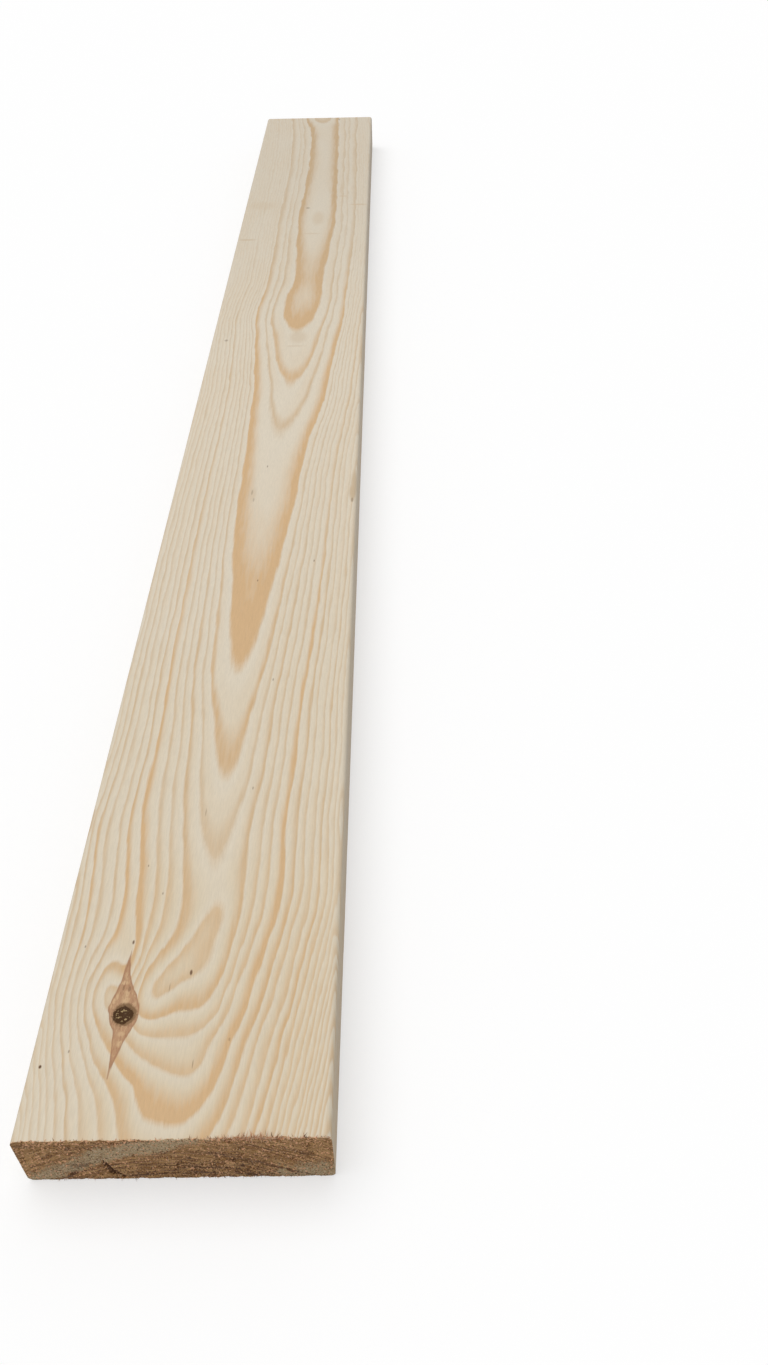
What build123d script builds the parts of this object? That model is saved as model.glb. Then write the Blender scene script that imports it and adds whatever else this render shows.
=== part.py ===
from build123d import *

import os

# Softwood plank: one planed length of timber with four rounded arrises and two sawn ends, lying flat.
# Frame: +Z up, +Y along the grain from the near end to the far end, +X across the wide faces.
# The origin is under the middle of the plank, on the face that it lies on. Lengths are in millimetres.

# Driving dimensions
plank_width = 140.0
plank_thickness = 38.0
plank_length = 1400.0
arris_radius = 3.0
near_cut_skew = 1.4

# Places worked out from them: the far end is square, and the near cut is a little out of square
far_end = Plane.XZ.offset(-plank_length / 2)
blank_length = plank_length + plank_width
across_near_cut = Vector(plank_width, near_cut_skew, 0)
near_cut = Plane(
    origin=(0, -plank_length / 2, 0),
    x_dir=across_near_cut,
    z_dir=Vector(0, 0, 1).cross(across_near_cut),
)

# The plank: a planed section run from the far end past the near one, then sawn off there
with BuildPart() as plank:
    with BuildSketch(far_end) as section:
        with Locations((0, plank_thickness / 2)):
            RectangleRounded(plank_width, plank_thickness, arris_radius)
    extrude(amount=blank_length)
    split(bisect_by=near_cut, keep=Keep.TOP)
plank.part.label = "plank"

os.makedirs("parts", exist_ok=True)
export_step(plank.part, "parts/plank.step")
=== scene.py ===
import math

import bpy
import numpy as np
from bpy.props import FloatProperty, FloatVectorProperty, IntProperty, PointerProperty
from mathutils import Matrix, Vector


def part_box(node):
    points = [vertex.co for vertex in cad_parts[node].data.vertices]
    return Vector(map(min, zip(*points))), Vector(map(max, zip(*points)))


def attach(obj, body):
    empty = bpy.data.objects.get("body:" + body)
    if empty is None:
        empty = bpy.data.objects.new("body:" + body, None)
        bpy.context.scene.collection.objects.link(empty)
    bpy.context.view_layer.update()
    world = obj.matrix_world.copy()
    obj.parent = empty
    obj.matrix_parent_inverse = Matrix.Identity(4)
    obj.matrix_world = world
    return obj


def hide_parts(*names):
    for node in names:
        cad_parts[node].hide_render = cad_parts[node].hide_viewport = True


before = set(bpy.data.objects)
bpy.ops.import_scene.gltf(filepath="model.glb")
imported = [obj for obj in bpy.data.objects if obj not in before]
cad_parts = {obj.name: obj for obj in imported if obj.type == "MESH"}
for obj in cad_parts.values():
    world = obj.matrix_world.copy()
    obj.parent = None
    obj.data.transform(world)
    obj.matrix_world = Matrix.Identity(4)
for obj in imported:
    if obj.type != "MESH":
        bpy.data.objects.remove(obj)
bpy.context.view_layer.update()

bl_info = {
    "name": "Softwood plank",
    "version": (1, 0, 0),
    "blender": (4, 5, 0),
    "location": "View3D > Sidebar > Plank",
    "description": "Builds a planed softwood plank with growth rings, knot and sawn ends, on a pale stage",
    "category": "Object",
}

PLANK_LOW, PLANK_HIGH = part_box("plank")
MM = 0.001

# The wood figure is worked out in millimetres in the log: x across the board, y from the near end towards
# the far one, and depth down from the upper face. The pith runs below the board and wanders a little.
PITH_DEPTH = (
    (0, 101), (10, 100.25), (20, 99.4), (30, 98.2), (40, 97.5), (50, 96.85), (60, 95.3), (70, 94.75),
    (84, 94.4), (104, 94), (118, 93.4), (141, 92.95), (160, 92.6), (188, 92.1), (209, 91.6), (263, 90.85),
    (301, 90), (356, 89.35), (394, 88.9), (422, 88.3), (458, 87.85), (487, 87.4), (521, 87.2), (572, 86.5),
    (591, 86.02), (647, 84.6), (673, 84.26), (687, 83.7), (710, 82.9), (740, 82.2), (761, 81.95),
    (773, 81.65), (784, 81.1), (794, 80.8), (821, 80.1), (844, 79.9), (881, 80.45), (932, 80.1),
    (979, 79.5), (1025, 78.9), (1071, 78.85), (1117, 79.15), (1210, 79.6), (1302, 79.6), (1348, 79.5),
    (1400, 79.2),
)
PITH_SIDE = (
    (0, -5.2), (38, -4), (66, -4.4), (94, -0.6), (118, 3), (141, 3.2), (165, 1.4), (185, 0.6), (209, 1.6),
    (235, 1.4), (281, -0.5), (356, 0.1), (422, 0.6), (487, 2.1), (521, 2.8), (572, 4.4), (617, 7),
    (654, 8.5), (740, 8.3), (784, 8), (831, 10), (881, 12.9), (932, 13.1), (1071, 13.3), (1210, 12.9),
    (1302, 10.9), (1348, 8.8), (1376, 6.5), (1400, 5),
)
PITH_DEPTH_EASE = 16
PITH_SIDE_EASE = 28
LINE_FROM, LINE_TO = -200, 1600

# Each growth ring from the innermost outwards: its width, how dark its latewood is, and the share of the ring
# that the latewood takes up
INNERMOST_RADIUS = 39.5
RING_OVAL = 1.0085
RINGS = (
    (3.6, 0.7, 0.45), (4.2, 0.5, 0.42), (3.4, 0.8, 0.45), (4, 0.6, 0.42), (3.2, 0.55, 0.42),
    (3.8, 0.75, 0.45), (3, 0.5, 0.42), (3.6, 0.65, 0.42), (2.8, 0.8, 0.45), (3.4, 0.55, 0.42),
    (3.9, 0.6, 0.42), (3.2, 1.2, 0.56), (2.66, 0.85, 0.36), (1.76, 0.65, 0.32), (3.98, 1.15, 0.6),
    (1.6, 0.8, 0.36), (1.15, 0.5, 0.32), (1.56, 0.72, 0.42), (1.6, 0.5, 0.38), (1.68, 0.55, 0.4),
    (2.6, 0.92, 0.46), (2.3, 0.7, 0.44), (1.86, 0.48, 0.4), (2.46, 0.42, 0.4), (2.09, 0.62, 0.42),
    (1.96, 0.46, 0.42), (1.74, 0.36, 0.42), (1.5, 0.36, 0.42), (1.5, 0.36, 0.42), (1.5, 0.36, 0.42),
    (1, 0.36, 0.42), (1.1, 0.36, 0.42), (1.5, 0.36, 0.42), (1.4, 0.4, 0.42), (1.2, 0.42, 0.42),
    (1.4, 0.38, 0.42), (1.1, 0.42, 0.42), (1.3, 0.4, 0.42), (1.2, 0.42, 0.42), (1.4, 0.38, 0.42),
    (1.2, 0.4, 0.42), (1.3, 0.42, 0.42), (1.2, 0.38, 0.42), (1.3, 0.4, 0.42),
)
# Latewood share through one ring: it rises over the ring's reach to a peak, and falls to none in the next.
# A ring's own values change over in the pale part between the next two places.
PEAK, FALL_END = 0.94, 1.12
CHANGE_FROM, CHANGE_TO = 0.12, 0.36
# The latewood pales away from the near end, first in the outer rings, and it is wider near that end
OUTER_RINGS, FIRST_FADE, FIRST_FADE_ALONG = (14.9, 15.3), 0.25, (300, 520)
LINE_RINGS, SECOND_FADE, SECOND_FADE_ALONG = (12.0, 12.4), 0.48, (680, 1050)
NEAR_SPREAD, NEAR_SPREAD_ALONG, WIDEST_REACH = 0.6, (280, 60), 0.7
# To the left of the knot the lines stay narrow, and are darker by this share
LEFT_GAIN, LEFT_ACROSS, LEFT_ALONG = 0.45, (-26, -48), (230, 120)
# Places where a line is fainter: x, y, reach across, reach along, share lost
FAINT = ((-44.5, 70, 5, 14, 0.5), (-38, 48, 4, 9, 0.35), (-40, 91, 6, 6, 0.35))
# By the near end the outer lines are darker to the right and paler to the left, by this share at the edges
LEAN_SHARE, LEAN_RINGS, LEAN_ALONG = 0.4, (21.3, 22.3), (140, 50)
# The near part is warmer, from past the knot to the near end, and least so at the two sides; the wood stays a
# little warm further on, and the right side further still
WARM_ALONG, WARM_LEFT, WARM_RIGHT, WARM_RIGHT_LOSS = (210, 110), (-58, -28), (54, 74), 0.5
AFTER_SHARE, AFTER_ALONG = 0.4, (360, 260)
TAIL_SHARE, TAIL_ALONG, TAIL_ACROSS = 0.45, (500, 260), (8, 26)

# Places where the rings swell or dip: x, y, height, reach across, reach along, lean of x with y
SWELLS = (
    (-24, 70, 3, 11, 22, 0), (-33, 90, -2.9, 4.5, 14, 0), (-45, 70, 3, 8, 18, 0),
    (-72, 150, 5.3, 18, 62, 0), (-48, 42, 0.8, 14, 10, 0), (58, 385, 1.2, 20, 60, 0),
    (-20, 22, -0.7, 9, 12, 0), (-6, 92.5, 1.2, 6.3, 19, 0.46), (10.5, 88, 1.7, 8, 24, 0.15),
    (10, 815, -0.35, 5, 24, 0), (-39.5, 72, 0.9, 4, 7, 0), (-2.5, 82.5, 0.55, 5.5, 7.5, 0.3),
    (8, 24, 0.9, 8, 20, 0), (26, 8, 0.9, 9, 14, 0), (-37.4, 801.6, 1.2, 20, 26.2, 0),
    (2, 1404, 2.2, 15, 20, 0), (-46, 470, -0.5, 9, 110, 0), (-20, 1180, -0.5, 13, 140, 0),
    (30, 230, -0.2, 12, 60, 0), (38, 775, 0.6, 12, 40, 0), (50, 785, 1.1, 6, 28, 0),
    (38, 655, 0.45, 10, 40, 0), (54, 975, 0.4, 8, 50, 0), (50, 1388, 2, 7, 26, 0),
    (40, 1160, -0.5, 4.5, 90, 0), (-25, 1120, -0.45, 8, 80, 0), (-23, 895, 0.6, 8, 28, 0),
    (-20, 758, 0.6, 6, 18, 0), (-41, 205, 0.65, 6, 28, 0), (39, 215, -0.5, 5, 40, 0),
    (-15, 15, 0.65, 5.5, 9, 0), (-3, 38, 0.4, 16, 7, 0), (14, 58, 0.3, 6, 8, 0),
)
SWELL_DEPTH = 60.0

# The knot: its dark core on the upper face, and the left and right sides of the brown lens round it by y
KNOT_X, KNOT_Y = -31.0, 60.2
KNOT_HALF_WIDTH, KNOT_HALF_LENGTH, KNOT_POWER = 5.4, 4.9, 1.6
KNOT_RISE, KNOT_LEAST_SCALE = 0.5, 0.2
# The face sinks into the core between these, counted in core radii
KNOT_EDGE = (1.15, 0.85)
HALO_X, HALO_Y, HALO_HALF_WIDTH, HALO_HALF_LENGTH = 0.8, 0.3, 6.0, 6.2
LENS = (
    (27.6, -32.75, -32.25), (33, -32.85, -31.75), (37, -32.85, -30.75), (41, -33.1, -29.7),
    (46.4, -33.55, -28.25), (49.3, -33.75, -27), (53, -34.5, -25.6), (55, -36, -24.7), (58.6, -37.3, -23.5),
    (61.4, -37.9, -23.35), (63.6, -38.9, -23.6), (66.4, -38, -24.3), (71.4, -36.6, -26), (74.3, -35.8, -28),
    (78.6, -34.9, -29.75), (82.9, -34.25, -31.25), (88.6, -33.75, -31.9), (92.5, -33.1, -32.3),
    (97, -32.8, -32.6),
)
# Paler patches in the lens: x, y, half width, half length, share
LENS_PATCHES = (
    (-33, 77.5, 2, 1.2, 0.85), (-31, 71.3, 1.3, 2.2, 0.8), (-31, 68, 1.6, 2.2, 0.8),
    (-35.2, 70, 0.7, 1.9, 0.85), (-36.4, 67.7, 0.8, 1.7, 0.85), (-37.5, 65.4, 0.8, 1.5, 0.75),
    (-27, 66.4, 0.8, 1.3, 0.5), (-30, 50.4, 1.7, 1.3, 0.7), (-29.8, 45.4, 1.4, 1.8, 0.85),
    (-33, 45, 0.6, 3, 0.6), (-32.4, 81, 0.7, 1.8, 0.5),
)

# Small dark marks on the upper face, and wider pale brown stains: x, y, half width, half length, darkness
MARKS = (
    (-32.6, 100.5, 0.55, 1.2, 0.8), (-1.5, 83, 0.65, 1.5, 0.85), (-64.2, 34.3, 0.65, 0.9, 0.95),
    (-32.6, 147.9, 0.35, 0.8, 0.5), (-22.3, 130, 0.35, 0.8, 0.5), (-56.2, 98.2, 0.4, 0.8, 0.5),
    (-52.6, 41.8, 0.4, 0.8, 0.5), (41.8, 413.4, 0.45, 1.3, 0.6), (4.1, 391.6, 0.4, 1.2, 0.6),
    (-0.8, 536.3, 0.5, 1.6, 0.5), (22.4, 291.5, 0.4, 1.3, 0.5), (17.9, 201.9, 0.4, 1.2, 0.45),
    (5.4, 35.2, 0.3, 2.2, 0.4), (-10.8, 74.6, 0.3, 2.4, 0.35), (-6.5, 184.3, 0.3, 2.6, 0.35),
    (20.9, 47.4, 0.5, 0.9, 0.3), (-56.3, 752, 1.6, 2, 0.4), (1.7, 1076.2, 2.2, 2.2, 0.4),
    (26.6, 1391.1, 1.5, 2, 0.5), (-33, 74.6, 0.5, 1.4, 0.45), (-30, 74.3, 0.7, 1.4, 0.45),
    (-9.6, 500, 0.7, 3.4, 0.3), (-7.6, 490, 0.6, 2.6, 0.25), (66.6, 488.5, 0.9, 3, 0.4),
)
STAINS = (
    (-59.1, 987.3, 9, 2.4, 0.6), (59, 1084.5, 10, 2.4, 0.6), (10, 1001.9, 9, 2.2, 0.35),
    (40.4, 1111.3, 4.5, 2.6, 0.45), (14.9, 1045.1, 6.5, 19, 0.4), (10, 756.3, 8, 12, 0.4),
    (8, 739, 8, 2.2, 0.3), (-9, 497, 3, 9, 0.3), (-50, 1085, 16, 12, 0.25), (67.6, 510, 2.4, 20, 0.8),
    (66.8, 500, 2.8, 11, 0.9),
)

# The sawn near end: middle line of its olive band and of a crack with its half width, and an olive corner
OLIVE_BAND = ((-68, -2), (-56, 8), (-48, 14), (-32, 25), (-21, 28.5), (-10, 31), (4, 37), (20, 46))
OLIVE_HALF_HEIGHT = 5.2
OLIVE_CORNER_X, OLIVE_CORNER_Z, OLIVE_CORNER_HALF_WIDTH, OLIVE_CORNER_HALF_HEIGHT = 63, 2, 17, 9
CRACK = ((1, -25, 0.6), (3, -27, 1.5), (6.5, -29.6, 2), (11.2, -31.2, 1.2), (18.2, -33, 0.5))
CRACK_DEPTH, CRACK_EDGE, NO_CRACK = 1.6, (1.2, 0.5), 9.0
FAR_OLIVE_LOSS = 0.9
# Dark strokes on the sawn near end: x, z, half length, half width, tilt in degrees and darkness
STROKES = (
    (40.7, 11.7, 22, 0.9, 28, 0.7), (38.2, 30.4, 10, 0.8, 28, 0.55), (56, 24, 9, 0.7, 32, 0.5),
    (12, 10.4, 13, 0.9, 7, 0.75), (-2, 12.6, 9, 0.8, 2, 0.7), (-15, 4, 12, 0.9, -4, 0.7),
    (30, 3, 9, 1.6, 12, 0.7), (10, 5.5, 12, 1, 4, 0.6), (16, 25, 12, 0.7, 12, 0.5),
    (-43.8, 13.9, 5, 2.2, -20, 0.6), (-49, 5.2, 4.6, 1.2, -50, 0.75), (-46, 31, 1.6, 1.4, 0, 0.8),
    (-64, 14.2, 2.6, 0.8, -30, 0.6), (-64, 33.5, 5, 1.6, 0, 0.5), (6, 20.5, 1.4, 1.4, 0, 0.8),
    (18, 22, 1.2, 1.3, 0, 0.8), (25, 17.5, 2, 1.5, 0, 0.8), (36.5, 15, 2.2, 1.2, 0, 0.7),
)
# The stretch of that end with the most torn pits, where their painted shade gathers: x, z, half width and
# half height
PIT_STRETCH = (8, 8, 40, 12)
# Relief of a sawn end: height as a share, size across and size up in mm of its waves, its nap and its pits;
# the share for its arcs, their reach in a ring and their level; where pits cut in; seeds; the far end's share
SAW_WAVES, SAW_NAP, SAW_PITS = (1.0, 9, 5), (1.1, 1.7, 1.2), (2.4, 2.6, 1.5)
SAW_ARCS, SAW_ARC_REACH, SAW_ARC_LEVEL, SAW_PIT_CUT = 0.6, 0.5, 0.3, (0.74, 0.95)
NEAR_SAW_SEED, FAR_SAW_SEED, FAR_SAW_SHARE = 11, 31, 0.5
# Notches torn round the near edge: size, share and seed of two noises, and where their sum cuts in
TEAR_NOISES, TEAR_CUT = ((2.3, 0.6, 5), (0.9, 0.4, 6)), (0.40, 0.85)
# The notches' depth everywhere, and more on the torn stretch of the upper edge: its place, spread and least
# height; their run along the board in depths; and what they lose towards the two sides
TEAR_LEAST, TEAR_MORE, TEAR_PLACE, TEAR_ABOVE, TEAR_RUN = 0.55, 0.45, (38, 18), 30, 4
SIDE_CALM, SIDE_ACROSS = 0.8, (64, 68)

# Torn fibres in mm, in four groups: splinters and fringe of the upper near edge, nap, and lower fringe.
# Place and spread of the torn stretch, the share of the upper fibres that stand there, and their length share
# elsewhere and its gain there
FIBRE_SEED = 8
TORN_PLACE, TORN_SHARE, TORN_LEAST, TORN_MORE = (36, 14), 0.6, 0.45, 0.55
# What stays free at the sides, and heights: mean and spread below the upper face, margins of the nap, a range
UPPER_MARGIN, NAP_MARGIN, LOWER_MARGIN = 1, 2, 4
UPPER_SINKS, NAP_ABOVE, NAP_BELOW, LOWER_HEIGHTS = ((0.1, 0.3), (0.3, 0.7)), 1.5, 0.5, (0.4, 1.6)
FIBRE_LENGTHS = ((1.4, 4.2), (0.6, 1.9), (0.3, 0.9), (0.4, 1.6))
FIBRE_HALF_WIDTHS = ((0.13, 0.24), (0.09, 0.19), (0.10, 0.22), (0.1, 0.2))
# Direction: ranges of the rise, with the spread for the nap; ranges of the way out; mean and spread sideways
UPPER_LIFTS, NAP_LIFT, LOWER_LIFT = ((0.4, 1.3), (0.1, 1.3)), 0.5, (-0.3, 0.3)
UPPER_OUTS, SIDEWAYS = ((-1.1, 0.3), (-0.6, 0.7)), (0.1, 0.5)
# Powers that pale the upper fibres, depth of the roots, spread of the bend, half width shares before the tip
TONE_POWERS, ROOT_SINK, FIBRE_BEND, FIBRE_TAPER = (0.65, 0.45), 0.3, 0.25, (1.0, 0.7)

# Mesh: cells on the straight runs of the section and on each half arris; places along the length in mm and
# the steps between them; and the angle in degrees past which an edge stays sharp
WIDE_CELLS, NARROW_CELLS, ARRIS_CELLS = 140, 38, 3
STATIONS = (0, 0.4, 2.4, 19, 105, 190, 1380, 1398, 1400)
STATION_STEPS = (1, 3, 7, 45, 20, 130, 6, 3)
SHARP_ANGLE = 50
# Share of the map's height for the body, where the ends start above it, and each end's width and step
BODY_MAP_SHARE, END_MAP_LOW, END_MAP_WIDTH, END_MAP_STEP = 0.85, 0.87, 0.48, 0.5
# Side of the lattice of random values that noise is read from, and half the slope's run in mm
LATTICE, HALF_RUN = 256, 0.5
# How far along the board the marks of an end are felt, and the near cut's skew, in metres
END_REACH, NEAR_SKEW = 0.05, 1.4 * MM
# Material: where soft spots and strokes start and are full, in half sizes, and the depth of spots in mm
SPOT_EDGE, STROKE_EDGE, SPOT_DEPTH = (1.4, 0.5), (1.3, 0.5), 2
# Shares of the coordinates that noise is read at: small ones draw it out along the grain, or up the end
GRAIN, SWAY_GRAIN, SOFT_GRAIN, END_GRAIN = (1, 0.1, 1), (1, 0.12, 1), (1, 0.25, 1), (1, 1, 0.75)
GLOSS, FIBRE_ROUGHNESS, BUMP_STRENGTH, BUMP_DEPTH = 0.2, 0.8, 0.35, 0.15 * MM
# How far the floor lies below the plank in metres, and the camera's long side in mm
FLOOR_DROP, LONG_SIDE = 0.1 * MM, 36


def linear(red, green, blue):
    """Linear colour for a display colour given as three numbers from 0 to 255."""
    shares = [value / 255 for value in (red, green, blue)]
    return tuple(s / 12.92 if s <= 0.04045 else ((s + 0.055) / 1.055) ** 2.4 for s in shares)


def eased_line(points, reach):
    """Table of a line at 1 mm steps: straight runs between points, averaged over a bell of the reach."""
    places, values = np.array(points, float).T
    table_y = np.arange(LINE_FROM, LINE_TO, dtype=float)
    table = np.interp(table_y, places, values)
    first_slope = (values[1] - values[0]) / (places[1] - places[0])
    last_slope = (values[-1] - values[-2]) / (places[-1] - places[-2])
    before = np.minimum(table_y - places[0], 0)
    after = np.maximum(table_y - places[-1], 0)
    table += first_slope * before + last_slope * after
    bell = np.hanning(2 * reach + 1)
    return table_y, np.convolve(np.pad(table, reach, mode="edge"), bell / bell.sum(), mode="valid")


def smooth_step(low, high, value):
    """Ease from 0 at low to 1 at high."""
    share = np.clip((value - low) / (high - low), 0, 1)
    return share * share * (3 - 2 * share)


def lattice_noise(p, q, seed):
    """Smooth noise from 0 to 1: random values on a unit lattice, blended between corners by a cubic ease."""
    table = np.random.default_rng(seed).random((LATTICE, LATTICE))
    i, j = np.floor(p).astype(int), np.floor(q).astype(int)
    s, t = p - i, q - j
    s, t = s * s * (3 - 2 * s), t * t * (3 - 2 * t)
    left, right, lower, upper = i % LATTICE, (i + 1) % LATTICE, j % LATTICE, (j + 1) % LATTICE
    low = table[left, lower] * (1 - s) + table[right, lower] * s
    high = table[left, upper] * (1 - s) + table[right, upper] * s
    return low * (1 - t) + high * t


PITH_DEPTH_LINE = eased_line(PITH_DEPTH, PITH_DEPTH_EASE)
PITH_SIDE_LINE = eased_line(PITH_SIDE, PITH_SIDE_EASE)
RING_WIDTHS, RING_STRENGTHS, RING_REACHES = np.array(RINGS).T
RING_EDGES = INNERMOST_RADIUS + np.concatenate([[0.0], np.cumsum(RING_WIDTHS)])


def ring_number(x, y, depth):
    """Growth rings passed at a point: its distance from the pith, less the swells, read off ring widths."""
    below = np.interp(y, *PITH_DEPTH_LINE) - depth
    radius = np.hypot((x - np.interp(y, *PITH_SIDE_LINE)) * RING_OVAL, below)
    fade = np.clip(1 - depth / SWELL_DEPTH, 0, 1)
    for swell_x, swell_y, height, across, along, lean in SWELLS:
        off_y = y - swell_y
        off_x = x - swell_x - lean * off_y
        radius = radius - fade * height * np.exp(-0.5 * ((off_x / across) ** 2 + (off_y / along) ** 2))
    return np.interp(radius, RING_EDGES, np.arange(len(RING_EDGES)))


def ring_value(number, values):
    """Value of the ring that a point is in, changing over only in the pale first part of a ring."""
    count = np.arange(len(values))
    places = np.stack([count + CHANGE_FROM, count + CHANGE_TO], 1).ravel()
    before = np.concatenate([values[:1], values[:-1]])
    return np.interp(number, places, np.stack([before, values], 1).ravel())


def latewood(number, reach):
    """Share of latewood: a smooth rise to the peak late in a ring, and a fall that runs into the next."""
    phase = number % 1
    rise = smooth_step(PEAK - reach, PEAK, phase) * (1 - smooth_step(PEAK, FALL_END, phase))
    return np.maximum(rise, 1 - smooth_step(PEAK, FALL_END, phase + 1))


def knot_fields(x, y, depth):
    """Fields of the knot: distance from its axis in core radii, in halo radii, and mm inside the lens.

    The axis runs from the upper face down towards the pith, and the knot shrinks with the distance left.
    The core is a rounded diamond: both shares of its half sizes raised to a power, and the root of their sum.
    """
    below = np.interp(KNOT_Y, *PITH_DEPTH_LINE)
    scale = np.clip(1 - depth / below, KNOT_LEAST_SCALE, 1)
    pith_x = np.interp(KNOT_Y, *PITH_SIDE_LINE)
    off_x = (x - KNOT_X - (pith_x - KNOT_X) * (1 - scale)) / scale
    off_y = (y - KNOT_Y - KNOT_RISE * depth) / scale
    across, along = np.abs(off_x) / KNOT_HALF_WIDTH, np.abs(off_y) / KNOT_HALF_LENGTH
    core = (across ** KNOT_POWER + along ** KNOT_POWER) ** (1 / KNOT_POWER)
    halo = np.hypot((off_x - HALO_X) / HALO_HALF_WIDTH, (off_y - HALO_Y) / HALO_HALF_LENGTH)
    lens_y, left, right = np.array(LENS).T
    at = np.clip(off_y + KNOT_Y, lens_y[0], lens_y[-1])
    from_left = off_x + KNOT_X - np.interp(at, lens_y, left)
    from_right = np.interp(at, lens_y, right) - off_x - KNOT_X
    inside = np.minimum(from_left, from_right) - np.abs(off_y + KNOT_Y - at)
    return core, halo, inside


def spread(points, steps):
    """Places from point to point, with the given number of even steps in each run."""
    runs = [np.linspace(a, b, n, endpoint=False) for a, b, n in zip(points[:-1], points[1:], steps)]
    return np.append(np.concatenate(runs), points[-1])


def eased_edge(start, stop, turns, radius, cells):
    """One side of the section: a point at a radius from a centre, which turns, slides on and turns again."""
    share = np.concatenate([np.zeros(ARRIS_CELLS), np.linspace(0, 1, cells + 1), np.ones(ARRIS_CELLS)])
    first = np.linspace(turns[0], turns[1], ARRIS_CELLS, endpoint=False)
    last = np.linspace(turns[1], turns[2], ARRIS_CELLS + 1)[1:]
    turn = np.radians(np.concatenate([first, np.full(cells + 1, turns[1]), last]))
    outward = np.stack([np.cos(turn), np.sin(turn)], 1)
    return np.outer(1 - share, start) + np.outer(share, stop) + radius * outward, outward


def make_object(name, vertices, faces, material):
    """Mesh object from arrays: vertices, and blocks of faces with the same number of corners."""
    mesh = bpy.data.meshes.new(name)
    mesh.from_pydata(vertices.tolist(), [], [corners for block in faces for corners in block.tolist()])
    mesh.materials.append(material)
    made = bpy.data.objects.new(name, mesh)
    bpy.context.scene.collection.objects.link(made)
    return made


def put_attribute(mesh, name, values):
    """Stores one number for each vertex under a name that materials read."""
    mesh.attributes.new(name, "FLOAT", "POINT").data.foreach_set("value", values.astype(np.float32))


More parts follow.
